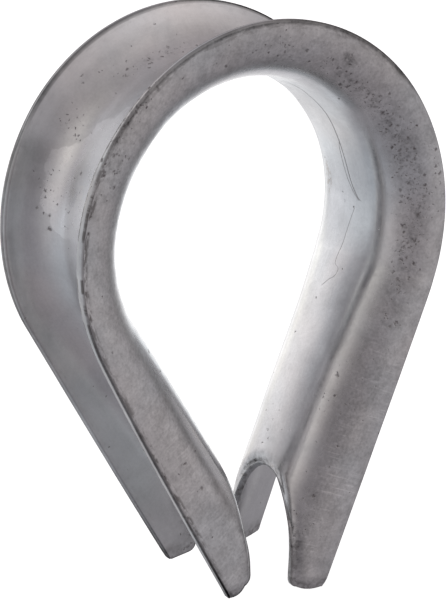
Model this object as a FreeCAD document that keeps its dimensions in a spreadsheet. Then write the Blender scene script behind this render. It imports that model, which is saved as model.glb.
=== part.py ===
"""Wire rope thimble: one formed strip of zinc plated steel, bent into a teardrop.

The strip is a channel whose groove opens outwards and holds the rope. The channel runs round
a crown of constant radius, then down two legs that are pinched narrower and deeper towards
their tips. Each end of the strip is notched, which leaves two tongues on each leg.

The crown and the two legs are drawn as separate bodies that meet face to face, and are then
joined, because on the real thimble they are one unbroken strip.

Frame: X across the eye, Y along the axis of the crown, Z up from the tips to the crown.
The origin is the centre of the crown arc, halfway between the two flanges.
"""
import FreeCAD, Part
import math
import os
import Sketcher

NODE = "thimble"
SIDES = ("left", "right")

# Driving dimensions: millimetres, and degrees for the angles.
SIZES = {
    "rim_radius": 28.0,          # crown centre to the rim of the flanges
    "gauge": 1.5,                # thickness of the strip
    "crown_half_width": 10.9,    # middle of the channel to the outside of a rim, at the crown
    "left_half_width": 8.5,      # the same at the last section of the left leg
    "right_half_width": 9.1,     # the same at the last section of the right leg
    "flange_depth": 8.2,         # rim to the eye side of the web, at the crown
    "tip_depth": 10.9,           # the same at the last section of a leg
    "flange_flare": 5.0,         # lean of each flange away from square, in degrees
    "crown_bend": 7.4,           # eye side radius between web and flange, at the crown
    "tip_bend": 6.2,             # the same at the end of a leg
    "leg_angle": 24.8,           # lean of a leg from upright, in degrees
    "leg_length": 46.0,          # crown to the section past the tips, along a leg
    "shoulder": 0.4,             # where the middle section of a leg stands, as a part of its length
    "shoulder_pinch": 0.53,      # how much of the pinch and the side set it already has
    "left_shift": 0.1,           # sideways set of the left leg at its last section
    "right_shift": -1.1,         # sideways set of the right leg at its last section
    "notch_head_radius": 3.4,    # round head of the notch between two tongues
    "notch_half_width": 5.6,     # half width of the notch at its foot
    "left_notch_start": 20.8,    # crown to the head of the notch, along the left leg
    "right_notch_start": 29.8,   # the same along the right leg
    "left_tongue_start": 22.8,   # crown to where the tongues begin, left leg
    "right_tongue_start": 31.6,  # the same on the right leg
    "left_tongue_width": 4.4,    # width of a tongue at its tip, left leg
    "right_tongue_width": 5.8,   # the same on the right leg
    "left_rim_end": 42.3,        # crown to the end of the rims, along the left leg
    "right_rim_end": 43.8,       # the same along the right leg
    "tip_skew": 0.9,             # how far the inner corner of a tongue passes its rim corner
    "tongue_corner_radius": 1.6, # inner corner at the tip of a tongue
    "clearance": 3.0,            # how far the cutting outlines run past the metal
}
SHEET = "Sizes"


def cell(name):
    """The reference to a driving dimension inside an expression."""
    return f"{SHEET}.{name}"


LEG_ANGLE = f"{cell('leg_angle')} * 1 deg"


def make_sheet(doc):
    sheet = doc.addObject("Spreadsheet::Sheet", SHEET)
    for row, (name, value) in enumerate(SIZES.items(), start=1):
        sheet.set(f"A{row}", name)
        sheet.set(f"B{row}", str(value))
        sheet.setAlias(f"B{row}", name)
    doc.recompute()
    return sheet


# Sketch helpers ---------------------------------------------------------------------------

ORIGIN = (-1, 1)
UPRIGHT_AXIS = -2
START, END, CENTRE = 1, 2, 3


def new_sketch(body, name, role, turn_axis, placement):
    """A sketch on an origin plane of its body, offset by the given expressions."""
    plane = next(item for item in body.Origin.OriginFeatures if item.Role == role)
    sketch = body.newObject("Sketcher::SketchObject", name)
    sketch.AttachmentSupport = (plane, [""])
    sketch.MapMode = "FlatFace"
    turned = FreeCAD.Rotation(FreeCAD.Vector(*turn_axis), 1.0)
    sketch.AttachmentOffset = FreeCAD.Placement(FreeCAD.Vector(), turned)
    for path, expression in placement.items():
        sketch.setExpression(f"AttachmentOffset.{path}", expression)
    return sketch


def line(sketch, start, end):
    ends = [FreeCAD.Vector(point[0], point[1], 0) for point in (start, end)]
    return sketch.addGeometry(Part.LineSegment(*ends))


def arc(sketch, centre, radius, first, last):
    """An arc from the first angle to the last, in degrees, counterclockwise."""
    middle = FreeCAD.Vector(centre[0], centre[1], 0)
    circle = Part.Circle(middle, FreeCAD.Vector(0, 0, 1), radius)
    return sketch.addGeometry(Part.ArcOfCircle(circle, math.radians(first), math.radians(last)))


def relate(sketch, *what):
    return sketch.addConstraint(Sketcher.Constraint(*what))


def rule(sketch, expression, *what):
    """A dimension of the sketch that follows an expression on the sheet."""
    sketch.setExpression(f"Constraints[{relate(sketch, *what)}]", expression)


def pin(sketch, geometry, end, across, height, where):
    """Holds a point at two expressions from the sketch's origin; where is its place now."""
    for kind, expression, value in zip(("DistanceX", "DistanceY"), (across, height), where):
        if value >= 0:
            rule(sketch, expression, kind, *ORIGIN, geometry, end, value)
        else:
            rule(sketch, f"-({expression})", kind, geometry, end, *ORIGIN, -value)


# The channel section ----------------------------------------------------------------------

def channel_skin(sketch, centre, radius, flare, rim):
    """One skin of the channel: flange, bend, web, bend and flange, from -x to +x."""
    turn = math.radians(90.0 - flare)
    foot = (centre[0] + radius * math.sin(turn), centre[1] - radius * math.cos(turn))
    top = (foot[0] + (rim - foot[1]) / math.tan(turn), rim)
    floor = centre[1] - radius
    left = line(sketch, (-top[0], top[1]), (-foot[0], foot[1]))
    left_bend = arc(sketch, (-centre[0], centre[1]), radius, 180.0 + flare, 270.0)
    web = line(sketch, (-centre[0], floor), (centre[0], floor))
    right_bend = arc(sketch, centre, radius, 270.0, 360.0 - flare)
    right = line(sketch, foot, top)
    relate(sketch, "Tangent", left, END, left_bend, START)
    relate(sketch, "Tangent", left_bend, END, web, START)
    relate(sketch, "Tangent", web, END, right_bend, START)
    relate(sketch, "Tangent", right_bend, END, right, START)
    relate(sketch, "Symmetric", left, START, right, END, UPRIGHT_AXIS)
    relate(sketch, "Symmetric", web, START, web, END, UPRIGHT_AXIS)
    relate(sketch, "Equal", left_bend, right_bend)
    return {"left": (left, START), "right": (right, END), "web": web, "bend": right_bend}


def channel_section(body, name, sheet, half_width, depth, bend, placement):
    """A closed section of the channel. Its x runs along Y and its y outwards from the crown axis."""
    sketch = new_sketch(body, name, "YZ_Plane", (1, 0, 0), placement)
    rim, flare, gauge = sheet.rim_radius, sheet.flange_flare, sheet.gauge
    width, deep, radius = (sheet.evalExpression(size) for size in (half_width, depth, bend))
    lean = math.radians(flare)
    rise = deep - radius
    centre = (width - rise * math.tan(lean) - radius / math.cos(lean), rim - rise)
    eye = channel_skin(sketch, centre, radius, flare, rim)
    groove = channel_skin(sketch, centre, radius - gauge, flare, rim)
    for side in SIDES:
        outer, inner = (sketch.getPoint(*skin[side]) for skin in (eye, groove))
        rim_edge = line(sketch, outer, inner)
        relate(sketch, "Coincident", rim_edge, START, *eye[side])
        relate(sketch, "Coincident", rim_edge, END, *groove[side])
    relate(sketch, "Horizontal", rim_edge)
    relate(sketch, "Coincident", eye["bend"], CENTRE, groove["bend"], CENTRE)
    relate(sketch, "Parallel", eye["right"][0], groove["right"][0])
    rule(sketch, f"90 - {cell('flange_flare')}", "Angle", eye["right"][0], math.pi / 2 - lean)
    rule(sketch, half_width, "DistanceX", *ORIGIN, *eye["right"], width)
    rule(sketch, cell("rim_radius"), "DistanceY", *ORIGIN, *eye["right"], rim)
    rule(sketch, f"{cell('rim_radius')} - ({depth})", "DistanceY", *ORIGIN, eye["web"], END, rim - deep)
    rule(sketch, bend, "Radius", eye["bend"], radius)
    rule(sketch, f"({bend}) - {cell('gauge')}", "Radius", groove["bend"], radius - gauge)
    return sketch


# Sizes along a leg ------------------------------------------------------------------------

def signed(side, expression):
    """An angle or a distance that is mirrored from the right leg to the left one."""
    return expression if side == "right" else f"-({expression})"


def pinched(start, tip, share):
    """A size of the channel after a share of its change from the crown to the tip."""
    return f"({start}) + (({tip}) - ({start})) * ({share})"


def leg_point(side, out, down):
    """X and Z of a point that is out from the crown axis and down a leg, as expressions."""
    across = signed(side, f"({out}) * cos({LEG_ANGLE}) - ({down}) * sin({LEG_ANGLE})")
    height = f"-(({out}) * sin({LEG_ANGLE}) + ({down}) * cos({LEG_ANGLE}))"
    return across, height


# Bodies -----------------------------------------------------------------------------------

def make_crown(doc, sheet):
    body = doc.addObject("PartDesign::Body", "Crown")
    section = channel_section(body, "CrownSection", sheet, cell("crown_half_width"),
                              cell("flange_depth"), cell("crown_bend"), {"Rotation.Angle": "0"})
    ring = body.newObject("PartDesign::Revolution", "CrownRing")
    ring.Profile = section
    ring.ReferenceAxis = (section, ["H_Axis"])
    ring.Midplane = True
    ring.setExpression("Angle", f"180 + 2 * {cell('leg_angle')}")
    return body


def leg_section(body, sheet, side, name, distance, share):
    """The channel's section at a distance down a leg, with a share of the pinch and side set."""
    placement = {
        "Base.x": f"{cell(side + '_shift')} * ({share})",
        "Base.y": f"-({distance}) * cos({LEG_ANGLE})",
        "Base.z": signed(side, f"-({distance}) * sin({LEG_ANGLE})"),
        "Rotation.Angle": signed(side, f"90 + {cell('leg_angle')}"),
    }
    half_width = pinched(cell("crown_half_width"), cell(f"{side}_half_width"), share)
    depth = pinched(cell("flange_depth"), cell("tip_depth"), share)
    bend = pinched(cell("crown_bend"), cell("tip_bend"), share)
    return channel_section(body, side.capitalize() + name, sheet, half_width, depth, bend, placement)


def add_channel(body, sheet, side):
    """The leg's length of channel, from the end of the crown to past the tips."""
    shoulder = f"{cell('leg_length')} * {cell('shoulder')}"
    sections = [
        leg_section(body, sheet, side, "Start", "0", "0"),
        leg_section(body, sheet, side, "Shoulder", shoulder, cell("shoulder_pinch")),
        leg_section(body, sheet, side, "End", cell("leg_length"), "1"),
    ]
    channel = body.newObject("PartDesign::AdditiveLoft", f"{side.capitalize()}Channel")
    channel.Profile = sections[0]
    channel.Sections = sections[1:]
    channel.Ruled = True
    return channel


def add_notch(body, sheet, side):
    """The round headed notch through the web, drawn in a plane on the eye side of the web."""
    level = f"{cell('rim_radius')} - {cell('tip_depth')} - {cell('clearance')}"
    placement = {
        "Base.x": cell(f"{side}_shift"),
        "Base.y": f"-({level}) * sin({LEG_ANGLE})",
        "Base.z": signed(side, f"({level}) * cos({LEG_ANGLE})"),
        "Rotation.Angle": signed(side, cell("leg_angle")),
    }
    sketch = new_sketch(body, f"{side.capitalize()}NotchOutline", "YZ_Plane", (1, 0, 0), placement)
    centre_down = f"{cell(side + '_notch_start')} + {cell('notch_head_radius')}"
    radius, wide = sheet.notch_head_radius, sheet.notch_half_width
    centre, foot_level = -sheet.evalExpression(centre_down), -sheet.leg_length
    head = arc(sketch, (0, centre), radius, 10.0, 170.0)
    left = line(sketch, (-radius, centre), (-wide, foot_level))
    foot = line(sketch, (-wide, foot_level), (wide, foot_level))
    right = line(sketch, (wide, foot_level), (radius, centre))
    relate(sketch, "Tangent", head, END, left, START)
    relate(sketch, "Coincident", left, END, foot, START)
    relate(sketch, "Coincident", foot, END, right, START)
    relate(sketch, "Tangent", right, END, head, START)
    relate(sketch, "PointOnObject", head, CENTRE, UPRIGHT_AXIS)
    relate(sketch, "Symmetric", foot, START, foot, END, UPRIGHT_AXIS)
    rule(sketch, cell("notch_head_radius"), "Radius", head, radius)
    rule(sketch, cell("notch_half_width"), "DistanceX", *ORIGIN, foot, END, wide)
    rule(sketch, centre_down, "DistanceY", head, CENTRE, *ORIGIN, -centre)
    rule(sketch, cell("leg_length"), "DistanceY", foot, END, *ORIGIN, -foot_level)
    notch = body.newObject("PartDesign::Pocket", f"{side.capitalize()}Notch")
    notch.Profile = sketch
    notch.Reversed = side == "right"
    notch.setExpression("Length", f"{cell('clearance')} + {cell('tip_bend')}")
    return notch


def add_tongues(body, sheet, side):
    """Narrows the leg's two tongues and ends them at their tips, drawn in the plane of the eye."""
    rim, past = cell("rim_radius"), f"{cell('rim_radius')} + {cell('clearance')}"
    web = f"{cell('rim_radius')} - {cell('tip_depth')}"
    below = f"{cell('leg_length')} + {cell('clearance')}"
    start, rim_end = cell(f"{side}_tongue_start"), cell(f"{side}_rim_end")
    outline = [
        (web, start),
        (f"{rim} - {cell(side + '_tongue_width')}", f"{rim_end} + {cell('tip_skew')}"),
        (rim, rim_end),
        (past, rim_end),
        (past, below),
        (f"({web}) - {cell('clearance')}", below),
        (f"({web}) - {cell('clearance')}", start),
    ]
    inner_corner = 1
    rules = [leg_point(side, out, down) for out, down in outline]
    spots = [tuple(sheet.evalExpression(part) for part in pair) for pair in rules]
    sketch = new_sketch(body, f"{side.capitalize()}TongueOutline", "XZ_Plane", (0, 0, 1),
                        {"Rotation.Angle": "0"})
    count = len(spots)
    edges = [line(sketch, spots[i], spots[(i + 1) % count]) for i in range(count)]
    for i in range(count):
        if i == inner_corner:
            round_corner(sketch, sheet, edges[i - 1], edges[i], rules[i], spots[i])
        else:
            relate(sketch, "Coincident", edges[i - 1], END, edges[i], START)
            pin(sketch, edges[i], START, *rules[i], spots[i])
    trim = body.newObject("PartDesign::Pocket", f"{side.capitalize()}Tongues")
    trim.Profile = sketch
    trim.Type = "ThroughAll"
    trim.Midplane = True
    return trim


def round_corner(sketch, sheet, before, after, rules, spot):
    """Joins two lines with a tangent arc, and pins the point where the lines would meet."""
    radius = sheet.tongue_corner_radius
    corner = FreeCAD.Vector(spot[0], spot[1], 0)
    back = (sketch.getPoint(before, START) - corner).normalize()
    ahead = (sketch.getPoint(after, END) - corner).normalize()
    half = back.getAngle(ahead) / 2.0
    centre = corner + (back + ahead).normalize() * (radius / math.sin(half))
    ends = [corner + way * (radius / math.tan(half)) for way in (back, ahead)]
    sketch.moveGeometry(before, END, ends[0], False)
    sketch.moveGeometry(after, START, ends[1], False)
    angles = [math.degrees(math.atan2(end.y - centre.y, end.x - centre.x)) for end in ends]
    turn = (angles[1] - angles[0]) % 360.0
    if turn < 180.0:
        bend, near, far = arc(sketch, centre, radius, angles[0], angles[0] + turn), START, END
    else:
        bend, near, far = arc(sketch, centre, radius, angles[1], angles[1] + 360.0 - turn), END, START
    relate(sketch, "Tangent", before, END, bend, near)
    relate(sketch, "Tangent", bend, far, after, START)
    rule(sketch, cell("tongue_corner_radius"), "Radius", bend, radius)
    meeting = sketch.addGeometry(Part.Point(corner), True)
    relate(sketch, "PointOnObject", meeting, START, before)
    relate(sketch, "PointOnObject", meeting, START, after)
    pin(sketch, meeting, START, *rules, spot)


def make_leg(doc, sheet, side):
    body = doc.addObject("PartDesign::Body", f"{side.capitalize()}Leg")
    feature = add_channel(body, sheet, side)
    doc.recompute()
    for cut in (add_notch, add_tongues):
        before = feature.Shape.Volume
        feature = cut(body, sheet, side)
        doc.recompute()
        if not feature.Shape.Volume < before - 1.0:
            raise RuntimeError(f"{feature.Name} removed nothing")
    return body


def join(doc, pieces):
    """The unbroken strip: the crown with both legs."""
    strip = doc.addObject("Part::MultiFuse", "Strip")
    strip.Shapes = pieces
    strip.Refine = True
    strip.Label = NODE
    doc.recompute()
    return strip


def check(doc, strip):
    """Stops the build when any feature failed or the strip is not one sound solid."""
    for item in doc.Objects:
        if "Invalid" in item.State or "Error" in item.State:
            raise RuntimeError(f"{item.Name} failed: {item.State}")
        if item.TypeId == "Sketcher::SketchObject" and item.solve() != 0:
            raise RuntimeError(f"{item.Name} did not solve")
    shape = strip.Shape
    if shape.isNull() or not shape.isValid() or len(shape.Solids) != 1:
        raise RuntimeError(f"{strip.Label} is not one valid solid")


def main():
    doc = FreeCAD.newDocument("thimble_eye")
    sheet = make_sheet(doc)
    pieces = [make_crown(doc, sheet)] + [make_leg(doc, sheet, side) for side in SIDES]
    strip = join(doc, pieces)
    check(doc, strip)
    os.makedirs("parts", exist_ok=True)
    strip.Shape.exportStep(f"parts/{NODE}.step")
    box = strip.Shape.optimalBoundingBox()
    print(f"{strip.Label}: {box.XLength:.2f} x {box.YLength:.2f} x {box.ZLength:.2f} mm, "
          f"z {box.ZMin:.2f} to {box.ZMax:.2f}, y {box.YMin:.2f} to {box.YMax:.2f}, "
          f"{strip.Shape.Volume:.0f} mm3")


main()
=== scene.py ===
"""Looks of the wire rope thimble: the zinc plated strip, its studio and its camera."""
import math

import bmesh
import bpy
import numpy as np
from mathutils import Matrix, Vector
from mathutils.kdtree import KDTree


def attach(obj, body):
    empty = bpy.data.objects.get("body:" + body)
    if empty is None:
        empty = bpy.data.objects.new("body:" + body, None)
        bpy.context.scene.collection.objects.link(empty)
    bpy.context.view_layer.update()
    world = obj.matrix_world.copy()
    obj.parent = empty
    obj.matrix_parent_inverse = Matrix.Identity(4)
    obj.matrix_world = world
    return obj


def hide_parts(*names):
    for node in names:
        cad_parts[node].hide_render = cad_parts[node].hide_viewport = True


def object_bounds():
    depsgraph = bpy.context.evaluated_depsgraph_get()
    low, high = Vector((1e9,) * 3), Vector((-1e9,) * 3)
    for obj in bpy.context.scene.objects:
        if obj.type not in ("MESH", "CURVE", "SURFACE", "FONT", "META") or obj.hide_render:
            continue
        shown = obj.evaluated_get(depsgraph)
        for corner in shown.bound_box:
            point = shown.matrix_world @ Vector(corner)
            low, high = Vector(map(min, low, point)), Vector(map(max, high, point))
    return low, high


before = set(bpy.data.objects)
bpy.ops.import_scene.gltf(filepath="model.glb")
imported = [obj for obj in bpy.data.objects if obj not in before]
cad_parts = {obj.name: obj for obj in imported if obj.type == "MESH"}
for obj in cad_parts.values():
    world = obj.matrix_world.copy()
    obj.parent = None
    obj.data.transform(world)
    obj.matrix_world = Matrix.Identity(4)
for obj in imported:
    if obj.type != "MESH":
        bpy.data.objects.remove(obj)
cad_bounds = [list(corner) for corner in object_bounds()]

# Sizes in units of the rim radius, unless a name says otherwise ------------------------------

RIM = 0.027985                   # rim radius, in metres
MM = 0.001 / RIM                 # one millimetre
GAUGE = 1.5 * MM
ROUNDING = 0.28 * MM             # of the sheared edges
LEAN = math.radians(24.82)       # of the legs, from upright
FLARE = math.radians(5.0)        # of the flanges, from square
WEB_SWELL = math.radians(6.0)    # slope at which the web leaves the bends
# HALF_WIDTH, DEPTH, BEND, SIDE_SET and the left BOW were solved by a separate fitting program,
# together with CAMERA, and not set by hand.
HALF_WIDTH = {"top": 0.3883, "shoulder": 0.3877, "left": 0.3077, "right": 0.3077}
DEPTH = {"crown": 0.2914, "left": 0.3894, "right": 0.3888}
BEND = {"crown": 0.2611, "tip": 0.2009}
SIDE_SET = {"left": 0.0019, "right": -0.0555}
SIDE_SET_POWER = {"left": 1.2, "right": 0.5}
SPLAY = {("right", "rear"): 0.067}   # how far a rim leans out further at the end of its leg
BOW = {"left": -0.0091, "right": 0.0}
PINCH_POWER = 0.70
LEG_SPAN = 1.55                  # leg length over which the pinch is stated
PINCH_LEAD, PINCH_EASE = 0.04, 0.06
# Small faults of the forming: centre and spread along the strip, change of the depth
DEPTH_FAULTS = {
    "left": [(1.42, 0.45, -0.011), (2.15, 0.25, 0.005)],
    "right": [(1.25, 0.35, 0.007), (2.40, 0.30, -0.005)],
}

# Notch: start along the leg, and how fast its two edges part. Tongue: rim end, tip, corner.
NOTCH = {"left": 0.7735, "right": 1.075}
EDGE = {
    ("left", "front"): {"spread": 0.32, "late": 0.262, "rim_end": 1.486, "tip": 1.510,
                        "corner": 0.035, "belly": 0.018},
    ("left", "rear"): {"spread": 0.49, "late": 0.0, "rim_end": 1.501, "tip": 1.544,
                       "corner": 0.045, "belly": 0.0},
    ("right", "front"): {"spread": 0.565, "late": 0.0, "rim_end": 1.556, "tip": 1.590,
                         "corner": 0.030, "belly": 0.013},
    ("right", "rear"): {"spread": 0.50, "late": 0.0, "rim_end": 1.484, "tip": 1.568,
                        "corner": 0.05, "belly": 0.006},
}
ROLL_DEPTH, ROLL_WIDTH = 0.55 * MM, 1.5 * MM     # eye side rolled over at the cut ends
RIM_THINNING, THINNED_WIDTH = 0.75 * MM, 3.0 * MM  # rims drawn thinner round the crown
THINNING_POWER = 1.5
THINNING_END, THINNING_FADE = 1.0, 0.07          # where along the strip that stops
# Dents and ridges: along and across, spreads, height towards the groove, in millimetres
DENTS = [(97.3, -13.4, 0.9, 0.9, -0.12), (96.6, -12.2, 1.3, 1.0, 0.08), (69.0, -5.0, 1.2, 1.6, 0.10),
         (-33.0, 6.0, 5.0, 2.5, 0.10), (-26.0, 9.0, 3.0, 3.0, -0.06), (-76.0, -9.0, 19.0, 1.1, -0.20)]
# Waviness of the strip: turns along and across per rim radius, phase, height in millimetres
RIPPLES = [(3.1, 1.7, 0.4, 0.05), (7.3, -2.9, 1.9, 0.03), (11.9, 6.1, 0.8, 0.018),
           (-5.3, 9.7, 2.6, 0.02), (17.0, 3.0, 4.0, 0.010)]
RIM_RIPPLE, CALM_WIDTH = 0.3, 4.0 * MM           # share of the waviness that reaches a rim
HALF = 30                        # columns from a rim to the middle of the web
CROWN_ROWS, LEG_ROWS, TONGUE_ROWS, TIP_ROWS = 190, 56, 44, 8
BELLY_POWER = 6                  # how late a tongue's rows take up the curve of its tip
ROUND_STEPS = 4                  # faces round each sheared corner
CROWN_ARC = math.pi / 2 + LEAN


# The strip's shape ---------------------------------------------------------------------------

def ease(s, power=PINCH_POWER):
    """Share of a change reached at s along a leg; it starts softly, just above the leg."""
    lead = np.maximum(s + PINCH_LEAD, 0.0)
    full = math.hypot(LEG_SPAN + PINCH_LEAD, PINCH_EASE) - PINCH_EASE
    return ((np.hypot(lead, PINCH_EASE) - PINCH_EASE) / full) ** power


def section_sizes(side, path):
    """Half width, depth, bend radius and sideways set at a distance along the strip."""
    s = path - CROWN_ARC
    share = ease(s)
    height = np.maximum(np.sin(np.pi / 2 - np.minimum(path, CROWN_ARC)), 0.0)
    width = (HALF_WIDTH["shoulder"] + (HALF_WIDTH[side] - HALF_WIDTH["shoulder"]) * share
             + (HALF_WIDTH["top"] - HALF_WIDTH["shoulder"]) * height ** 2)
    depth = DEPTH["crown"] + (DEPTH[side] - DEPTH["crown"]) * share
    bend = BEND["crown"] + (BEND["tip"] - BEND["crown"]) * np.maximum(s, 0.0) / LEG_SPAN
    shift = SIDE_SET[side] * ease(s, SIDE_SET_POWER[side])
    for centre, spread, change in DEPTH_FAULTS[side]:
        depth = depth + change * np.exp(-((path - centre) / spread) ** 2)
    return width, depth, bend, shift


def section_lengths(width, depth, bend):
    """Where the bend and the web begin, and where the middle is, from the rim along the skin."""
    rise = math.tan(WEB_SWELL / 2)
    web = width - bend / math.cos(FLARE) + bend * math.sin(WEB_SWELL)
    bend_depth = ((depth - bend * math.cos(WEB_SWELL) - rise * web)
                  / (1 - rise * math.tan(FLARE)))
    bend_place = width - bend_depth * math.tan(FLARE) - bend / math.cos(FLARE)
    flange = (bend_depth + bend * math.sin(FLARE)) / math.cos(FLARE)
    turn = bend * (math.pi / 2 - FLARE - WEB_SWELL)
    web_radius = (bend_place + bend * math.sin(WEB_SWELL)) / math.sin(WEB_SWELL)
    return bend_depth, bend_place, flange, turn, web_radius


def eye_skin(side, flange, path, across):
    """Point of the eye side skin. path is from the top of the crown, across is from the rim."""
    width, depth, bend, shift = section_sizes(side, path)
    bend_depth, bend_place, straight, turn, web_radius = section_lengths(width, depth, bend)
    phi = FLARE + np.clip((across - straight) / bend, 0.0, turn / bend)
    psi = WEB_SWELL - (across - straight - turn) / web_radius
    on_flange, on_web = across < straight, across > straight + turn
    out = np.where(on_flange, width - across * math.sin(FLARE), bend_place + bend * np.cos(phi))
    out = np.where(on_web, web_radius * np.sin(psi), out)
    down = np.where(on_flange, across * math.cos(FLARE), bend_depth + bend * np.sin(phi))
    down = np.where(on_web, depth - web_radius * (1 - np.cos(psi)), down)
    theta = math.pi / 2 - np.minimum(path, CROWN_ARC)
    s = np.maximum(path - CROWN_ARC, 0.0)
    radial_x, radial_z = np.cos(theta), np.sin(theta)
    rim_x = radial_x * (1 + BOW[side] * s ** 2) - s * math.sin(LEAN)
    rim_z = radial_z * (1 + BOW[side] * s ** 2) - s * math.cos(LEAN)
    mirror = 1.0 if side == "right" else -1.0
    face = -1.0 if flange == "front" else 1.0
    x = mirror * (rim_x - down * radial_x)
    free = np.clip(1 - across / straight, 0.0, 1.0) * np.minimum(ease(path - CROWN_ARC), 1.0)
    y = shift + face * (out + SPLAY.get((side, flange), 0.0) * free)
    z = rim_z - down * radial_z
    return np.stack([x, y, z], axis=-1)


def middle(side, path):
    """Distance from a rim to the middle of the web, along the skin."""
    width, depth, bend, _ = section_sizes(side, path)
    _, _, straight, turn, web_radius = section_lengths(width, depth, bend)
    return straight + turn + web_radius * WEB_SWELL


def notch_edge(side, flange, s):
    """Distance from the rim to the edge of the notch, along the skin."""
    shape = EDGE[side, flange]
    past = np.maximum(s - NOTCH[side], 0.0)
    gap = shape["spread"] * np.sqrt(past) + shape["late"] * past ** 1.5
    return middle(side, CROWN_ARC + s) - gap - ROUNDING * np.minimum(past / ROUNDING, 1.0)


# Mesh patches, as (side, flange, path, across) for every vertex --------------------------------

def body_rows():
    """Rows of the unbroken part of the strip, from the left notch to the right one."""
    left = CROWN_ARC + NOTCH["left"] * np.linspace(1, 0, LEG_ROWS, endpoint=False)
    crown = np.linspace(CROWN_ARC, -CROWN_ARC, CROWN_ROWS)
    right = -(CROWN_ARC + NOTCH["right"] * np.linspace(0, 1, LEG_ROWS + 1)[1:])
    return np.concatenate([left, crown, right])


def tongue_grid(side, flange):
    """path and across of a tongue, rows from the notch to the tip, columns from the rim inwards."""
    shape, start, inset = EDGE[side, flange], NOTCH[side], ROUNDING
    corner = shape["corner"]
    # Inner edge, then half of the rounded corner
    edge_stop = shape["tip"] - corner
    t = np.linspace(0, 1, TONGUE_ROWS + 1) ** 2
    edge_s = start + (edge_stop - start) * t
    edge_a = notch_edge(side, flange, edge_s)
    slope = (edge_a[-1] - edge_a[-2]) / (edge_s[-1] - edge_s[-2])
    edge_dir = np.array([1.0, slope]) / math.hypot(1.0, slope)
    last = np.array([edge_s[-1], edge_a[-1]])
    rim_tip = np.array([shape["rim_end"], inset])
    # The corner is a quadratic curve from the edge to the end line
    knee = last + edge_dir * corner
    end_dir = (rim_tip - knee) / np.linalg.norm(rim_tip - knee)
    leave = knee + end_dir * corner
    u = np.linspace(0, 1, 2 * TIP_ROWS + 1)[:, None]
    bend = (1 - u) ** 2 * last + 2 * u * (1 - u) * knee + u ** 2 * leave
    notch_side = np.concatenate([np.stack([edge_s, edge_a], -1), bend[1:TIP_ROWS + 1]])
    t = np.linspace(0, 1, HALF - TIP_ROWS + 1)[1:, None]
    belly = np.array([shape["belly"], 0.0]) * 4 * t * (1 - t)
    tip_line = np.concatenate([bend[TIP_ROWS:], leave + (rim_tip - leave) * t + belly])[::-1]
    rows = len(notch_side)
    share = (notch_side[:, 0] - start) / (notch_side[-1, 0] - start)
    rim_side = np.stack([start + (rim_tip[0] - start) * share, np.full(rows, inset)], -1)
    sigma = column_shares()[None, :, None]
    ruled = (1 - sigma) * rim_side[:, None] + sigma * notch_side[:, None]
    bulge = tip_line - ((1 - sigma[0]) * tip_line[0] + sigma[0] * tip_line[-1])
    return ruled + bulge[None] * (share ** BELLY_POWER)[:, None, None]


def column_shares():
    return np.linspace(0, 1, HALF + 1)


def build_skin():
    """Vertices of the eye side skin, the quads, and the strip coordinates of every vertex."""
    points, strip, quads = [], [], []

    def put(side, flange, path, across):
        face = -1.0 if flange == "front" else 1.0
        mirror = 1.0 if side == "right" else -1.0
        points.append(eye_skin(side, flange, path, across))
        strip.append(np.stack([mirror * path, face * (middle(side, path) - across), across], -1))

    rows = body_rows()
    for row in rows:
        side = "left" if row > 0 else "right"
        path = np.full(HALF + 1, abs(row))
        across = ROUNDING + (middle(side, path) - ROUNDING) * column_shares()
        put(side, "front", path, across)
        put(side, "rear", path[1:], across[:-1][::-1])
    width = 2 * HALF + 1
    for i in range(len(rows) - 1):
        for j in range(width - 1):
            a = i * width + j
            quads.append((a, a + 1, a + width + 1, a + width))
    count = len(rows) * width
    tongues = {}
    for side, row in (("left", 0), ("right", len(rows) - 1)):
        for flange in ("front", "rear"):
            grid = tongue_grid(side, flange)
            base = [row * width + (j if flange == "front" else 2 * HALF - j) for j in range(HALF + 1)]
            ids = [base]
            for line in grid[1:]:
                put(side, flange, CROWN_ARC + line[:, 0], line[:, 1])
                ids.append(list(range(count, count + HALF + 1)))
                count += HALF + 1
            turn = (side == "left") != (flange == "front")
            for upper, lower in zip(ids[:-1], ids[1:]):
                for j in range(HALF):
                    quad = (upper[j], upper[j + 1], lower[j + 1], lower[j])
                    quads.append(quad if turn else quad[::-1])
            tongues[side, flange] = ids
    return np.concatenate(points), np.concatenate(strip), quads, tongues, width, len(rows)


def outline(tongues, width, rows):
    """The closed boundary of the strip, as vertex numbers."""
    def around(side, first, second):
        one, two = tongues[side, first], tongues[side, second]
        down = [row[0] for row in one[1:]] + one[-1][1:] + [row[-1] for row in one[-2::-1]]
        up = [row[-1] for row in two[1:]] + two[-1][-2::-1] + [row[0] for row in two[-2:0:-1]]
        return down + up
    front = [i * width for i in range(rows)]
    rear = [i * width + width - 1 for i in range(rows)]
    return front + around("right", "front", "rear") + rear[::-1] + around("left", "rear", "front")


def vertex_normals(points, quads):
    corners = points[np.array(quads)]
    flat = np.cross(corners[:, 2] - corners[:, 0], corners[:, 3] - corners[:, 1])
    normals = np.zeros_like(points)
    for k in range(4):
        np.add.at(normals, np.array(quads)[:, k], flat)
    return normals / np.linalg.norm(normals, axis=1, keepdims=True)


def ripples(strip):
    """Slight unevenness left by forming, as an offset along the normal."""
    along, across = strip[:, 0], strip[:, 1]
    total = sum(size * np.sin(p * along + q * across + phase) for p, q, phase, size in RIPPLES)
    for place, side, long_spread, wide_spread, height in DENTS:
        reach = ((along / MM - place) / long_spread) ** 2 + ((across / MM - side) / wide_spread) ** 2
        total = total + height * np.exp(-reach)
    calm = np.minimum(1.0, strip[:, 2] / CALM_WIDTH)
    return total * MM * (RIM_RIPPLE + (1 - RIM_RIPPLE) * calm)


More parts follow.
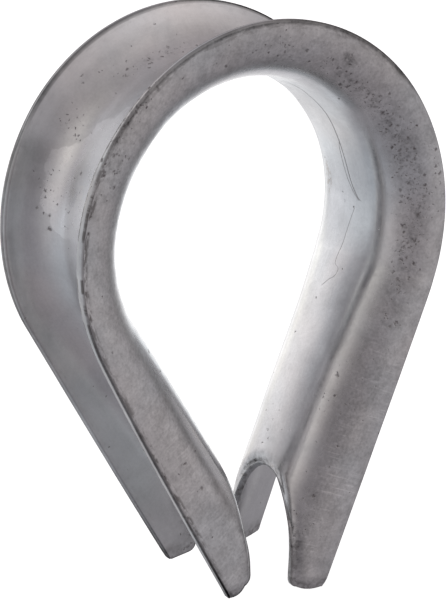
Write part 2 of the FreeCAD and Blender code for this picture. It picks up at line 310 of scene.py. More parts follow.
def distance(places, targets):
    """Distance of every place to the nearest target."""
    tree = KDTree(len(targets))
    for i, target in enumerate(targets):
        tree.insert(Vector(target), i)
    tree.balance()
    return np.array([tree.find(Vector(place))[2] for place in places])


def outward_ways(points, normals, loop, top):
    """Unit directions out of the strip round its edge; top is a place of the loop on the crown."""
    travel = points[np.roll(loop, -1)] - points[np.roll(loop, 1)]
    outward = np.cross(travel, normals[loop])
    outward /= np.linalg.norm(outward, axis=1, keepdims=True)
    return -outward if outward[top, 2] < 0 else outward


def edge_profile():
    """The rounded sheared edge, as shares of ROUNDING outwards and of the wall's height."""
    turns = np.linspace(0, math.pi / 2, ROUND_STEPS + 1)
    lower = [(math.sin(a), (1 - math.cos(a)) * ROUNDING / GAUGE) for a in turns[1:]]
    upper = [(math.cos(a), 1 - (1 - math.sin(a)) * ROUNDING / GAUGE) for a in turns[:-1]]
    return lower + [(1.0, 0.5)] + upper


def build_strip():
    """The closed strip: vertices in metres, faces, and where on the strip every vertex is.

    The last four values are along and across in millimetres, the skin (0 eye side, 1 groove
    side, 0.5 sheared edge), and the distances to the middle of the nearest sheared edge and
    of the nearest cut end.
    """
    points, strip, quads, tongues, width, rows = build_skin()
    normals = vertex_normals(points, quads)
    points = points + normals * ripples(strip)[:, None]
    normals = vertex_normals(points, quads)
    # The normals point into the groove: upwards in the middle of the web at the crown's top
    if normals[(rows // 2) * width + HALF, 2] < 0:
        normals, quads = -normals, [quad[::-1] for quad in quads]
    loop = np.array(outline(tongues, width, rows))
    outward = outward_ways(points, normals, loop, rows // 2)

    # The cut ends are rolled over on the eye side; the rims are thinner round the crown
    on_rim = strip[loop, 2] < 1.5 * ROUNDING
    to_cut = distance(points, points[loop[~on_rim]])
    roll = ROLL_DEPTH * np.maximum(1 - to_cut / ROLL_WIDTH, 0.0) ** 2
    crown = 1 / (1 + np.exp((np.abs(strip[:, 0]) - THINNING_END) / THINNING_FADE))
    thin = RIM_THINNING * crown * np.maximum(1 - strip[:, 2] / THINNED_WIDTH, 0.0) ** THINNING_POWER
    eye = points + normals * roll[:, None]
    groove = points + normals * (GAUGE - thin)[:, None]
    lean = np.where(on_rim, math.tan(FLARE), 0.0)[:, None]     # the rims are cut square to the eye
    floor, wall = roll[loop][:, None], (GAUGE - thin - roll)[loop][:, None]
    groove[loop] -= outward * lean * wall

    # The two skins, then the rings of the sheared edge between them
    count = len(points)
    vertices, coords = [eye, groove], [strip, strip]
    skin = [np.zeros(count), np.ones(count)]
    faces = [quad[::-1] for quad in quads] + [tuple(v + count for v in quad) for quad in quads]
    rings, total = [loop], 2 * count
    for out, rise in edge_profile():
        vertices.append(points[loop] + outward * (ROUNDING * out - lean * wall * rise)
                        + normals[loop] * (floor + wall * rise))
        coords.append(strip[loop])
        skin.append(np.full(len(loop), 0.5))
        rings.append(np.arange(total, total + len(loop)))
        total += len(loop)
    rings.append(loop + count)
    for lower, upper in zip(rings[:-1], rings[1:]):
        for i in range(len(loop)):
            k = (i + 1) % len(loop)
            faces.append((lower[i], lower[k], upper[k], upper[i]))
    vertices, coords, skin = np.concatenate(vertices), np.concatenate(coords), np.concatenate(skin)
    edge_line = points[loop] + normals[loop] * (floor + wall / 2)
    edge = distance(vertices, edge_line) / MM
    cut = distance(vertices, edge_line[~on_rim]) / MM
    return vertices * RIM, faces, coords / MM, skin, edge, cut


# Soft spots on the strip: skin (0 eye side, 1 groove side, None both), along and across in
# millimetres, spread along and across, amount

# Density of the dark pits
PITTING = [
    (0, 26.0, -10.0, 13.0, 1.0, 0.80), (0, 41.0, -11.5, 6.0, 1.1, 0.75),
    (0, 51.0, -10.4, 6.0, 1.2, 0.65), (0, 14.7, -12.3, 1.4, 0.7, 1.00),
    (0, 36.0, -10.8, 24.0, 1.6, 0.24), (0, 37.5, -14.6, 4.0, 0.6, 0.45),
    (0, 41.5, 4.9, 4.0, 1.0, 0.12), (0, -22.5, -15.0, 6.0, 0.7, 0.80),
    (0, -30.0, -13.6, 4.0, 1.6, 0.35), (0, -78.0, -13.0, 8.0, 2.5, 0.06),
    (0, 72.5, -7.4, 5.0, 1.6, 0.14), (0, 93.0, -9.0, 6.0, 1.2, 0.30),
    (0, 83.5, 2.0, 3.0, 1.6, 0.18), (0, 0.0, -12.5, 16.0, 2.0, 0.06),
    (1, -7.0, 8.0, 8.0, 0.9, 0.50), (1, -24.0, 8.6, 2.6, 2.4, 0.32),
    (1, -36.5, 7.5, 4.5, 3.2, 0.20), (1, 5.0, 10.5, 2.0, 0.8, 0.25),
    (1, -15.0, 12.0, 4.0, 1.2, 0.10),
]
# Smoother patches, brightened by a painted reflection
POLISH_AND_SHEEN = [
    (1, -33.5, 6.6, 7.5, 4.6, 1.05), (1, -27.0, 2.0, 11.0, 3.4, 0.90),
    (1, -38.5, 4.5, 4.0, 3.0, 0.80),
]
# Bluish zinc, or warm where the amount is negative. Some rows tint painted reflections and
# painted shade at the same places
COOL = [
    (0, 64.0, -3.5, 18.0, 2.0, 0.8), (0, -74.0, -8.0, 17.0, 1.2, 1.2),
    (0, 76.0, -9.5, 18.0, 2.2, -0.8), (1, -85.0, 10.0, 16.0, 10.0, 1.2),
    (1, 90.0, 10.0, 14.0, 12.0, 1.4), (0, -32.0, -9.0, 16.0, 2.0, 0.8),
    (0, 50.0, 5.0, 30.0, 3.0, 0.6), (1, -27.0, 2.0, 12.0, 3.0, 0.9),
]
# Painted shade in dark broken lines along the corners of the sheared edges
CORNER_SHADE = [
    (None, -41.0, -16.0, 11.0, 9.0, 1.4), (None, -66.0, -16.0, 12.0, 9.0, 0.8),
    (None, -84.0, -16.0, 10.0, 9.0, 0.8), (None, 92.0, -8.0, 12.0, 9.0, 0.5),
    (None, 0.0, -16.0, 30.0, 9.0, 0.4),
]
# Painted tones, lighter or darker; some stand in for soft reflections of the surface
SHADE = [
    (1, -28.0, 2.5, 16.0, 3.6, 0.30), (1, -43.0, 1.5, 8.0, 3.0, 0.42),
    (1, -38.0, 6.5, 9.0, 3.0, 0.12), (1, -10.0, 14.6, 14.0, 2.0, 0.26),
    (1, -34.0, 12.4, 5.0, 3.4, -0.30), (1, -30.6, 13.0, 1.8, 3.0, -0.20),
    (1, -54.0, 14.2, 9.0, 2.0, -0.22), (1, -72.0, 14.6, 7.0, 1.6, 0.12),
    (1, 6.0, 14.6, 11.0, 2.0, 0.28), (1, 94.0, 8.0, 5.0, 3.0, -0.14),
    (1, -64.0, 4.0, 12.0, 4.0, 0.08), (1, -88.0, 14.5, 12.0, 2.0, -0.10),
    (1, -90.0, 12.5, 8.0, 5.0, -0.06), (1, -46.0, 11.0, 8.0, 2.5, 0.10),
    (0, -73.0, -7.9, 17.0, 0.9, 0.62), (0, -78.0, -9.7, 13.0, 0.6, -0.26),
    (0, -98.0, -12.0, 5.0, 3.0, 0.12), (0, -48.0, -7.8, 4.0, 1.0, -0.14),
    (0, 88.0, -11.0, 4.0, 2.5, -0.12), (0, 56.0, -12.8, 4.0, 3.0, -0.12),
    (0, -36.0, -7.6, 14.0, 0.8, 0.16), (0, -14.0, -8.0, 10.0, 1.6, -0.10),
    (0, 68.0, -11.6, 16.0, 2.6, -0.10), (0, 96.0, -10.0, 5.0, 3.0, -0.10),
    (0, 90.0, 0.0, 4.0, 6.0, -0.12), (0, 66.0, -3.5, 20.0, 1.7, -0.20),
    (0, 78.0, -5.2, 10.0, 0.8, 0.46), (0, 71.2, -5.3, 1.3, 1.0, 0.24),
    (0, 68.0, -5.0, 1.8, 1.2, -0.22), (0, 74.0, -8.0, 16.0, 1.3, -0.20),
    (0, 76.0, -9.8, 18.0, 1.8, -0.10), (0, 60.0, -14.2, 30.0, 1.6, 0.05),
]
SPOTS = {"pitting": PITTING, "corner_shade": CORNER_SHADE, "polish_and_sheen": POLISH_AND_SHEEN, "cool": COOL, "shade": SHADE}
SAME_SKIN = 0.6                  # a spot also colours the sheared edge beside its skin


def spots(strip, skin, table):
    """Sum of soft spots at every vertex of the strip."""
    total = np.zeros(len(strip))
    for side, along, across, long_spread, wide_spread, amount in table:
        reach = ((strip[:, 0] - along) / long_spread) ** 2 + ((strip[:, 1] - across) / wide_spread) ** 2
        near = amount * np.exp(-reach)
        total += near if side is None else near * (np.abs(skin - side) < SAME_SKIN)
    return total


def make_strip():
    vertices, faces, coords, skin, edge, cut = build_strip()
    mesh = bpy.data.meshes.new("formed_strip")
    mesh.from_pydata(vertices.tolist(), [], [tuple(int(v) for v in face) for face in faces])
    mesh.update()
    strip = bpy.data.objects.new("formed_strip", mesh)
    bpy.context.scene.collection.objects.link(strip)
    layers = {"along_mm": coords[:, 0], "across_mm": coords[:, 1], "skin": skin,
              "edge_mm": edge, "cut_mm": cut}
    layers.update((name, spots(coords, skin, table)) for name, table in SPOTS.items())
    for name, values in layers.items():
        layer = mesh.attributes.new(name, "FLOAT", "POINT")
        layer.data.foreach_set("value", np.asarray(values, dtype=np.float32))
    mesh.shade_smooth()
    work = bmesh.new()
    work.from_mesh(mesh)
    bmesh.ops.recalc_face_normals(work, faces=work.faces)
    work.to_mesh(mesh)
    work.free()
    return strip


# Material --------------------------------------------------------------------------------------

METRE = 1000.0                   # in millimetres
WARM_ZINC, COOL_ZINC = (0.622, 0.612, 0.608, 1), (0.598, 0.612, 0.622, 1)
# Colours laid over the zinc, and how strongly
PIT, SCRATCH = ((0.17, 0.155, 0.155, 1), 0.80), ((0.16, 0.16, 0.16, 1), 0.75)
# The second coat here is painted shade at the edge corners, and dirt in clots at the cut ends
STAIN, SHADE_AND_DIRT = ((0.26, 0.20, 0.15, 1), 0.45), ((0.12, 0.11, 0.105, 1), 0.75)

# Noise patterns: cycles per millimetre, detail, roughness, distortion
PATTERNS = {
    "clouds": (0.11, 3.0, 0.5, 0.4), "mottle": (0.55, 4.0, 0.6, 0.6), "grain": (2.6, 3.0, 0.6),
    "hue": (0.07, 2.0), "blotch": (0.26, 5.0, 0.68, 0.8), "stretch_zone": (0.25, 1.0),
    "clusters": (0.45, 2.0), "pit_depth": (0.8, 1.0), "halo": (1.1, 3.0, 0.65),
    "ragged": (0.35, 3.0, 0.5), "stain": (1.4, 3.0), "roll_shade": (0.9, 3.0, 0.6),
    "clots": (1.1, 2.0, 0.6), "rim_soil": (1.3, 4.0, 0.7),
}
# Patterns drawn out on the strip: cycles per millimetre along and across, detail, roughness
DRAWN = {"rolled": (0.12, 3.5, 2.0, 0.55), "stretch": (2.6, 0.22, 2.0, 0.5),
         "dashes": (0.5, 1.6, 4.0, 0.65)}
SKIN_GAP = 9.0                   # keeps the two skins' drawn patterns apart
# Values between which a pattern, or a distance in millimetres, begins and stops to count
LIMITS = {
    "eye_side": (0.1, 0.4), "groove_side": (0.6, 0.9), "flange": (7.5, 10.0), "leg": (58.0, 66.0),
    "hue": (0.35, 0.65), "clouds": (0.3, 0.7), "mottle": (0.35, 0.7), "rough_mottle": (0.3, 0.7),
    "stretch_zone": (0.38, 0.6), "stretch": (0.5, 0.72), "clusters": (0.35, 0.7),
    "halo": (0.46, 0.72), "ragged": (0.93, 1.0), "stain": (0.42, 0.62),
    "roll_shade": (0.35, 0.65), "roll_shade_reach": (1.2, 2.6), "dashes": (0.45, 0.58),
    "clots": (0.53, 0.60), "clot_reach": (0.7, 1.3), "rim_soil": (0.5, 0.75),
    "rim_soil_reach": (0.9, 2.2), "bright_rim": (12.0, 20.0), "rear_rim": (11.0, 14.0),
    "rear_wall": (0.35, 0.50), "left_end": (-96.0, -84.0), "crown_line": (24.0, 34.0),
    "leg_line": (-54.0, -46.0), "front_rim": (-14.0, -11.0),
    "corner_in": (0.36, 0.52), "corner_out": (0.80, 1.05),
    "crown_line_in": (0.26, 0.36), "crown_line_out": (0.46, 0.66),
    "leg_line_in": (0.40, 0.52), "leg_line_out": (0.66, 0.86),
}
# Painted highlight on the rim walls, brightest at this place along the strip
BRIGHT_RIM_ALONG = -14.0         # where along the strip the rims are brightest
# Shares of brightness; the flange rows are added on the outside of the flanges
# The rows for the rolled cut ends and for the rim lines are painted shade, and the row for the smoother
# patches is a painted reflection
TONE = {"even": 0.97, "clouds": 0.14, "mottle": -0.16, "blotch": 0.28, "flange_blotch": 0.25,
        "grain": 0.22, "flange_grain": 0.45, "rolled": 0.08, "stretch": 0.14, "halo": -0.50,
        "polish_and_sheen": 0.20, "roll_shade": -0.28, "rim_soil": -0.18, "rim_line": -0.55}
# Walls of the sheared edges: darker all round, darker still on the rear rim and at the left end, and a
# painted highlight on the rims
WALL_TONE = {"even": -0.17, "rear": -0.42, "left_end": -0.35, "bright": 0.28}
ROUGHNESS = {"even": 0.17, "flange": 0.13, "mottle": 0.10, "wall": 0.30, "groove": 0.12,
             "polish_and_sheen": -0.04, "pit": 0.25}
RELIEF = {"mottle": 0.15, "flange_mottle": 0.5, "grain": 0.05, "flange_grain": 0.25, "pit": -1.2,
          "scratch": -0.8, "stretch": 0.35}
BUMP_HEIGHT = 0.00003            # metres for a relief of one
PIT_SIZES = ((0.80, 0.36, 1.0), (0.42, 0.18, 1.2))   # cell and radius in mm, share of the density
STRAY_PITS = 0.004
CLUSTERING, SPREAD_OUT = 1.3, 0.35     # how far the density follows the clusters
DEPTH_RANGE, LEAST_DEPTH = 1.0, 0.45
PIT_WOBBLE = {"Scale": 2.4, "Detail": 2.0}
WOBBLE_MM = 0.7
RAGGEDNESS = 0.9
# Patchiness of the painted shade on the rolled cut ends
ROLL_SHADE_RANGE, LEAST_ROLL_SHADE = 0.7, 0.3
CLOT_STRENGTH = 0.65
# How far the painted shade at the edge corners follows its table, and its least share
CORNER_SHADE_RANGE, LEAST_CORNER_SHADE = 0.9, 0.10
# Scratches along the web: half width in millimetres, strength, points along and across
SCRATCHES = [
    (0.16, 1.0, [(13.8, -1.0), (16.4, -1.6), (19.7, -1.3), (25.4, -1.1), (32.2, -0.5),
                 (36.6, -0.4), (39.6, -0.6), (42.5, -1.4), (44.2, -2.6)]),
    (0.10, 1.0, [(32.0, -0.5), (34.7, 0.2), (39.3, 0.1), (41.7, -0.6), (44.2, -2.2)]),
    (0.10, 0.7, [(46.0, -1.3), (50.4, -0.2), (53.6, 0.2), (57.0, 0.5), (57.8, -0.6),
                 (59.6, 0.7), (60.6, 1.6)]),
]
SCRATCH_CORE = 0.3               # share of a scratch's half width that is fully dark
STAIN_CENTRE, STAIN_SPREAD = (41.5, 4.9), (4.0, 1.0)
STAIN_CORE = 0.25


class Nodes:
    """Short calls for building a node tree."""

    def __init__(self, tree):
        self.tree = tree

    def add(self, kind, inputs=None, **settings):
        node = self.tree.nodes.new(kind)
        for name, value in settings.items():
            setattr(node, name, value)
        for key, value in (inputs or {}).items():
            self.feed(node.inputs[key], value)
        return node

    def feed(self, socket, value):
        if isinstance(value, bpy.types.NodeSocket):
            self.tree.links.new(value, socket)
        else:
            socket.default_value = value

    def math(self, operation, first, second=0.0, third=0.0):
        node = self.add("ShaderNodeMath", {0: first, 1: second, 2: third}, operation=operation)
        return node.outputs[0]

    def product(self, first, *others):
        for other in others:
            first = self.math("MULTIPLY", first, other)
        return first

    def total(self, start, *terms):
        """Start plus every (value, weight) term."""
        for value, weight in terms:
            start = self.math("MULTIPLY_ADD", value, weight, start)
        return start

    def attribute(self, name):
        return self.add("ShaderNodeAttribute", attribute_name=name).outputs["Fac"]

    def noise(self, vector, scale, detail=3.0, roughness=0.55, distortion=0.0):
        node = self.add("ShaderNodeTexNoise", {"Vector": vector, "Scale": scale, "Detail": detail,
                                               "Roughness": roughness, "Distortion": distortion})
        return node.outputs["Fac"]

    def span(self, value, low, high, to_low=0.0, to_high=1.0):
        """Smooth step of a value between two limits."""
        node = self.add("ShaderNodeMapRange", {"Value": value, "From Min": low, "From Max": high,
                                               "To Min": to_low, "To Max": to_high},
                        interpolation_type="SMOOTHSTEP")
        return node.outputs["Result"]

    def rises(self, value, name, strength=1.0):
        return self.span(value, *LIMITS[name], 0.0, strength)

    def falls(self, value, name, strength=1.0):
        return self.span(value, *LIMITS[name], strength, 0.0)

    def band(self, value, name):
        """Mask of the values between a rise and a fall."""
        return self.product(self.rises(value, name + "_in"), self.falls(value, name + "_out"))

    def mix(self, share, first, second, blend="MIX"):
        node = self.add("ShaderNodeMix", data_type="RGBA", blend_type=blend)
        self.feed(node.inputs["Factor"], share)
        self.feed(node.inputs["A"], first)
        self.feed(node.inputs["B"], second)
        return [out for out in node.outputs if out.type == "RGBA"][0]

    def lay(self, base, mask, coat):
        """A coat of colour over the base where the mask is."""
        colour, strength = coat
        return self.mix(self.math("MULTIPLY", mask, strength), base, colour)


class ZincNodes(Nodes):
    """The zinc's node tree, with the masks and patterns that several of its features share."""

    def __init__(self, tree):
        super().__init__(tree)
        position = self.add("ShaderNodeTexCoord").outputs["Object"]
        scaled = self.add("ShaderNodeVectorMath", {0: position, "Scale": METRE}, operation="SCALE")
        self.place = scaled.outputs["Vector"]
        self.along, self.across = self.attribute("along_mm"), self.attribute("across_mm")
        self.edge, self.cut = self.attribute("edge_mm"), self.attribute("cut_mm")
        skin = self.attribute("skin")
        self.eye_side, self.groove_side = self.falls(skin, "eye_side"), self.rises(skin, "groove_side")
        self.wall = self.math("SUBTRACT", 1.0, self.math("MAXIMUM", self.eye_side, self.groove_side))
        flange = self.rises(self.math("ABSOLUTE", self.across), "flange")
        self.outer_flange = self.product(flange, self.eye_side)
        unrolled = self.add("ShaderNodeCombineXYZ", {"X": self.along, "Y": self.across,
                                                     "Z": self.math("MULTIPLY", skin, SKIN_GAP)})
        self.unrolled = unrolled.outputs[0]
        self.mottle, self.grain = self.pattern("mottle"), self.pattern("grain")

    def pattern(self, name):
        return self.noise(self.place, *PATTERNS[name])

    def drawn(self, name):
        """A pattern drawn out along or across the strip."""
        long_scale, wide_scale, detail, roughness = DRAWN[name]
        node = self.add("ShaderNodeVectorMath", {0: self.unrolled, 1: (long_scale, wide_scale, 1.0)},
                        operation="MULTIPLY")
        return self.noise(node.outputs["Vector"], 1.0, detail, roughness)

    def about_even(self, pattern):
        """A pattern shifted so that its middle changes nothing."""
        return self.math("SUBTRACT", pattern, 0.5)

    def on_flanges(self, weights, name):
        """Weight of a feature, larger on the outside of the flanges."""
        return self.math("MULTIPLY_ADD", self.outer_flange, weights["flange_" + name], weights[name])


def scratch_line(n, points, half_width):
    """Mask of a thin line on the strip that passes through the points, given in millimetres."""
    start, stop = points[0][0], points[-1][0]
    low, high = min(p[1] for p in points) - 1.0, max(p[1] for p in points) + 1.0
    share = n.math("DIVIDE", n.math("SUBTRACT", n.along, start), stop - start)
    curve = n.add("ShaderNodeFloatCurve", {"Factor": 1.0, "Value": share})
    line = curve.mapping.curves[0]
    knots = [((a - start) / (stop - start), (b - low) / (high - low)) for a, b in points]
    line.points[0].location, line.points[1].location = knots[0], knots[-1]
    for knot in knots[1:-1]:
        line.points.new(*knot)
    curve.mapping.update()
    middle_line = n.math("MULTIPLY_ADD", curve.outputs[0], high - low, low)
    gap = n.math("ABSOLUTE", n.math("SUBTRACT", n.across, middle_line))
    near = n.span(gap, half_width * SCRATCH_CORE, half_width, 1.0, 0.0)
    inside = n.product(n.math("GREATER_THAN", share, 0.0), n.math("LESS_THAN", share, 1.0))
    return n.product(near, inside)


def scratches(n):
    marks = 0.0
    for half_width, strength, points in SCRATCHES:
        line = n.math("MULTIPLY", scratch_line(n, points, half_width), strength)
        marks = n.math("MAXIMUM", marks, line)
    return n.product(marks, n.eye_side)


def stain(n):
    """A brownish stain on the eye side of the web."""
    u = n.math("DIVIDE", n.math("SUBTRACT", n.along, STAIN_CENTRE[0]), STAIN_SPREAD[0])
    v = n.math("DIVIDE", n.math("SUBTRACT", n.across, STAIN_CENTRE[1]), STAIN_SPREAD[1])
    square = n.math("ADD", n.product(u, u), n.product(v, v))
    return n.product(n.span(square, STAIN_CORE, 1.0, 1.0, 0.0), n.eye_side,
                     n.rises(n.pattern("stain"), "stain"))


def specks(n, place, cell, radius, density):
    """Round specks about one to a cell, each kept with the given density."""
    texture = n.add("ShaderNodeTexVoronoi", {"Vector": place, "Scale": 1.0 / cell})
    draw = n.add("ShaderNodeSeparateColor", {"Color": texture.outputs["Color"]})
    kept = n.math("LESS_THAN", draw.outputs["Red"], density)
    size = n.math("MULTIPLY_ADD", draw.outputs["Green"], radius * 0.6, radius * 0.55)
    reach = n.math("DIVIDE", texture.outputs["Distance"], n.math("DIVIDE", size, cell))
    return n.product(n.span(reach, 0.25, 1.05, 1.0, 0.0), kept)


def pits(n, painted):
    """Dark pits, thickest where the painted density is high."""
    wobble = n.add("ShaderNodeTexNoise", {"Vector": n.place, **PIT_WOBBLE})
    shaken = n.add("ShaderNodeVectorMath", {0: wobble.outputs["Color"], 1: (WOBBLE_MM,) * 3, 2: n.place},
                   operation="MULTIPLY_ADD").outputs["Vector"]
    clusters = n.math("MULTIPLY_ADD", n.rises(n.pattern("clusters"), "clusters"), CLUSTERING, SPREAD_OUT)
    density = n.math("ADD", n.product(painted, clusters), STRAY_PITS)
    large, small = (specks(n, shaken, cell, radius, n.math("MULTIPLY", density, share))
                    for cell, radius, share in PIT_SIZES)
    depth = n.math("MULTIPLY_ADD", n.pattern("pit_depth"), DEPTH_RANGE, LEAST_DEPTH)
    return n.product(n.math("MAXIMUM", large, small), depth)


def stretch_marks(n):
    """Fine marks across the flanges of the legs, where the metal was stretched."""
    zone = n.product(n.rises(n.math("ABSOLUTE", n.along), "leg"), n.outer_flange,
                     n.rises(n.pattern("stretch_zone"), "stretch_zone"))
    return n.product(n.rises(n.drawn("stretch"), "stretch"), zone)


def edge_shade_and_dirt(n):
    """Painted shade in broken dashes at the corners of the sheared edges, and dirt in clots at the cut
    ends.
    """
    corner_shading = n.math("MULTIPLY_ADD", n.attribute("corner_shade"), CORNER_SHADE_RANGE, LEAST_CORNER_SHADE)
    dashes = n.product(n.band(n.edge, "corner"), n.rises(n.drawn("dashes"), "dashes"),
                       n.math("MINIMUM", corner_shading, 1.0))
    clots = n.product(n.rises(n.pattern("clots"), "clots"),
                      n.falls(n.cut, "clot_reach", CLOT_STRENGTH))
    return n.math("MAXIMUM", dashes, clots)


def edge_tone(n, tone):
    """The tone with painted shade on the rolled cut ends and along the rim corners, darker walls with a
    painted highlight on the rims, and soil beside the edges.
    """
    # Painted shade on the rolled-over band at the cut ends
    roll_shade = n.math("MULTIPLY_ADD", n.rises(n.pattern("roll_shade"), "roll_shade"), ROLL_SHADE_RANGE, LEAST_ROLL_SHADE)
    soil = n.product(n.falls(n.edge, "rim_soil_reach"), n.rises(n.pattern("rim_soil"), "rim_soil"))
    tone = n.total(tone, (n.product(n.falls(n.cut, "roll_shade_reach"), roll_shade), TONE["roll_shade"]),
                   (soil, TONE["rim_soil"]))
    # Darker walls, with a painted highlight on the rims round BRIGHT_RIM_ALONG
    from_bright = n.math("ABSOLUTE", n.math("SUBTRACT", n.along, BRIGHT_RIM_ALONG))
    rear_rim = n.product(n.rises(n.across, "rear_rim"), n.falls(n.edge, "rear_wall"))
    wall_tone = n.total(WALL_TONE["even"], (rear_rim, WALL_TONE["rear"]),
                        (n.falls(n.along, "left_end"), WALL_TONE["left_end"]),
                        (n.falls(from_bright, "bright_rim"), WALL_TONE["bright"]))
    # Painted shade: dark lines along the rim corners round the crown and on the left leg's front rim
    crown_line = n.product(n.band(n.edge, "crown_line"),
                           n.falls(n.math("ABSOLUTE", n.along), "crown_line"))
    leg_line = n.product(n.band(n.edge, "leg_line"), n.falls(n.along, "leg_line"),
                         n.falls(n.across, "front_rim"))
    return n.total(tone, (n.wall, wall_tone),
                   (n.math("MAXIMUM", crown_line, leg_line), TONE["rim_line"]))


def zinc_material():
    """Satin zinc: cloudy, a little warm or cool from place to place, pitted and scratched, with painted
    reflections, highlights and shade in its colour.
    """
    material = bpy.data.materials.new("satin_zinc")
    material.use_nodes = True
    tree = material.node_tree
    tree.nodes.clear()
    n = ZincNodes(tree)
    painted_pits = n.attribute("pitting")
    pit, marks, stretch = pits(n, painted_pits), scratches(n), stretch_marks(n)
    # Smoother patches, with a painted reflection that brightens them
    ragged = n.math("MULTIPLY_ADD", n.pattern("ragged"), RAGGEDNESS, n.attribute("polish_and_sheen"))
    polished_with_sheen = n.rises(ragged, "ragged")

    tone = n.total(
        TONE["even"],
        (n.rises(n.pattern("clouds"), "clouds"), TONE["clouds"]),
        (n.product(n.rises(n.mottle, "mottle"), n.outer_flange), TONE["mottle"]),
        (n.about_even(n.pattern("blotch")), n.on_flanges(TONE, "blotch")),
        (n.about_even(n.grain), n.on_flanges(TONE, "grain")),
        (n.about_even(n.drawn("rolled")), TONE["rolled"]),
        (stretch, TONE["stretch"]),
        (n.product(n.rises(n.pattern("halo"), "halo"), painted_pits), TONE["halo"]),
        (n.attribute("shade"), 1.0),
        # painted reflection on the smoother patches
        (polished_with_sheen, TONE["polish_and_sheen"]))
    tone = edge_tone(n, tone)
    # Hue of the zinc, partly the tint of painted reflections and painted shade
    coolness = n.math("ADD", n.rises(n.pattern("hue"), "hue"), n.attribute("cool"))
    grey = n.add("ShaderNodeCombineColor", {"Red": tone, "Green": tone, "Blue": tone}).outputs[0]
    base = n.mix(1.0, n.mix(coolness, WARM_ZINC, COOL_ZINC), grey, "MULTIPLY")
    for mask, coat in ((pit, PIT), (marks, SCRATCH), (stain(n), STAIN), (edge_shade_and_dirt(n), SHADE_AND_DIRT)):
        base = n.lay(base, mask, coat)

    rough = n.total(
        ROUGHNESS["even"],
        (n.outer_flange, ROUGHNESS["flange"]),
        (n.rises(n.mottle, "rough_mottle"), ROUGHNESS["mottle"]),
        (n.wall, ROUGHNESS["wall"]),
        (n.groove_side, ROUGHNESS["groove"]),
        (polished_with_sheen, ROUGHNESS["polish_and_sheen"]),
        (pit, ROUGHNESS["pit"]))
    relief = n.total(
        0.0,
        (n.mottle, n.on_flanges(RELIEF, "mottle")),
        (n.grain, n.on_flanges(RELIEF, "grain")),
        (pit, RELIEF["pit"]),
        (marks, RELIEF["scratch"]),
        (stretch, RELIEF["stretch"]))
    bump = n.add("ShaderNodeBump", {"Strength": 1.0, "Distance": BUMP_HEIGHT, "Height": relief})
    shader = n.add("ShaderNodeBsdfPrincipled", {"Base Color": base, "Metallic": 1.0, "Roughness": rough,
                                                "Normal": bump.outputs[0]})
    n.add("ShaderNodeOutputMaterial", {"Surface": shader.outputs[0]})
    return material


# Studio ------------------------------------------------------------------------------------------

FLOOR_HALF = 4.0                 # metres
FLOOR_GAP = 0.0005               # metres from the tips down to the floor
FLOOR_COLOUR, FLOOR_ROUGHNESS, FLOOR_GLOW = (0.9, 0.9, 0.9, 1), 0.9, 0.75


def make_floor(level):
    """A plain pale floor that lights itself evenly, so that it stays pale below the part."""
    mesh = bpy.data.meshes.new("studio_floor")
    corners = [(-1, -1), (1, -1), (1, 1), (-1, 1)]
    mesh.from_pydata([(x * FLOOR_HALF, y * FLOOR_HALF, level) for x, y in corners], [], [(0, 1, 2, 3)])
    floor = bpy.data.objects.new("studio_floor", mesh)
    bpy.context.scene.collection.objects.link(floor)
    material = bpy.data.materials.new("studio_white")
    material.use_nodes = True
    shader = material.node_tree.nodes["Principled BSDF"]
    shader.inputs["Base Color"].default_value = FLOOR_COLOUR
    shader.inputs["Roughness"].default_value = FLOOR_ROUGHNESS
    shader.inputs["Emission Color"].default_value = (1, 1, 1, 1)
    shader.inputs["Emission Strength"].default_value = FLOOR_GLOW
    mesh.materials.append(material)
    floor.visible_glossy = False
    floor.visible_diffuse = False


# Soft light round the studio: bearing from the back towards the right, height and spread in
# degrees, then its colour. LIGHTS and AMBIENT were solved by a separate fitting program and not
# set by hand; only the spreads were turned into degrees afterwards.
LIGHTS = [
    (-10, 10, 9, (1.13, 1.10, 1.01)),
    (44, -16, 12, (1.01, 1.03, 1.02)),
    (8, -4, 9, (0.90, 0.88, 0.84)),
    (1, -29, 18, (0.71, 0.73, 0.73)),
    (-32, 13, 9, (0.69, 0.68, 0.68)),
    (-27, -10, 9, (0.56, 0.55, 0.56)),
    (68, 0, 9, (0.46, 0.51, 0.51)),
    (-30, 40, 12, (0.44, 0.44, 0.46)),
    (43, -47, 9, (0.41, 0.42, 0.45)),
    (-50, -6, 10, (0.41, 0.43, 0.44)),
    (148, 8, 10, (0.44, 0.43, 0.41)),
    (-100, 41, 18, (0.43, 0.42, 0.38)),
    (9, -65, 9, (0.34, 0.37, 0.39)),
    (160, 44, 21, (0.36, 0.33, 0.31)),
    (-102, -1, 18, (0.26, 0.24, 0.23)),
    (-66, -30, 23, (0.18, 0.22, 0.24)),
    (48, 53, 25, (0.22, 0.20, 0.20)),
    (127, -5, 28, (0.21, 0.20, 0.19)),
]
AMBIENT = (0.293, 0.276, 0.298)


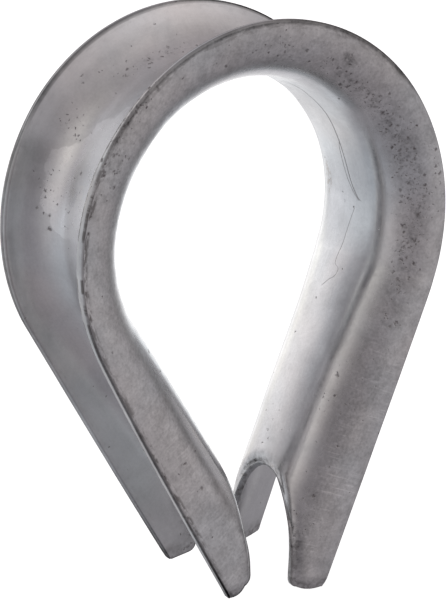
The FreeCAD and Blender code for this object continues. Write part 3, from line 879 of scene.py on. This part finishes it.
def make_world():
    world = bpy.data.worlds.new("studio")
    bpy.context.scene.world = world
    world.use_nodes = True
    tree = world.node_tree
    tree.nodes.clear()
    n = Nodes(tree)
    direction = n.add("ShaderNodeTexCoord").outputs["Generated"]
    total = AMBIENT
    for bearing, height, spread, colour in LIGHTS:
        turn, lift = math.radians(bearing), math.radians(height)
        way = (math.sin(turn) * math.cos(lift), math.cos(turn) * math.cos(lift), math.sin(lift))
        dot = n.add("ShaderNodeVectorMath", {0: direction, 1: way}, operation="DOT_PRODUCT")
        tight = 1.0 / math.radians(spread) ** 2
        level = n.math("EXPONENT", n.math("MULTIPLY_ADD", dot.outputs["Value"], tight, -tight))
        lit = n.add("ShaderNodeVectorMath", {0: colour, "Scale": level},
                    operation="SCALE").outputs["Vector"]
        total = n.add("ShaderNodeVectorMath", {0: total, 1: lit}, operation="ADD").outputs["Vector"]
    background = n.add("ShaderNodeBackground", {"Color": total, "Strength": 1.0})
    n.add("ShaderNodeOutputWorld", {"Surface": background.outputs[0]})


# Angles in degrees, distance and offsets in rim radii, lens in millimetres. Solved by a separate
# fitting program, and not set by hand.
CAMERA = {"turn": -32.5613, "height": 18.5687, "roll": -2.1942, "distance": 8.7945,
          "right": -0.0242, "up": -0.3639, "lens": 112.43}


def make_camera():
    turn, height, roll = (math.radians(CAMERA[k]) for k in ("turn", "height", "roll"))
    back = Vector((math.sin(turn) * math.cos(height), -math.cos(turn) * math.cos(height),
                   math.sin(height)))
    level = Vector((math.cos(turn), math.sin(turn), 0.0))
    raised = back.cross(level)
    right = level * math.cos(roll) + raised * math.sin(roll)
    up = raised * math.cos(roll) - level * math.sin(roll)
    spot = (back * CAMERA["distance"] + right * CAMERA["right"] + up * CAMERA["up"]) * RIM
    data = bpy.data.cameras.new("camera")
    data.lens, data.sensor_width, data.sensor_fit = CAMERA["lens"], 36.0, "AUTO"
    data.clip_start, data.clip_end = 0.01, 20.0
    camera = bpy.data.objects.new("camera", data)
    bpy.context.scene.collection.objects.link(camera)
    turned = Matrix((right, up, back)).transposed().to_4x4()
    camera.matrix_world = Matrix.Translation(spot) @ turned
    bpy.context.scene.camera = camera


strip = make_strip()
strip.data.materials.append(zinc_material())
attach(strip, "root")
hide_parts("thimble")
make_floor(cad_bounds[0][2] - FLOOR_GAP)
make_world()
make_camera()
bpy.context.scene.view_settings.view_transform = "Standard"
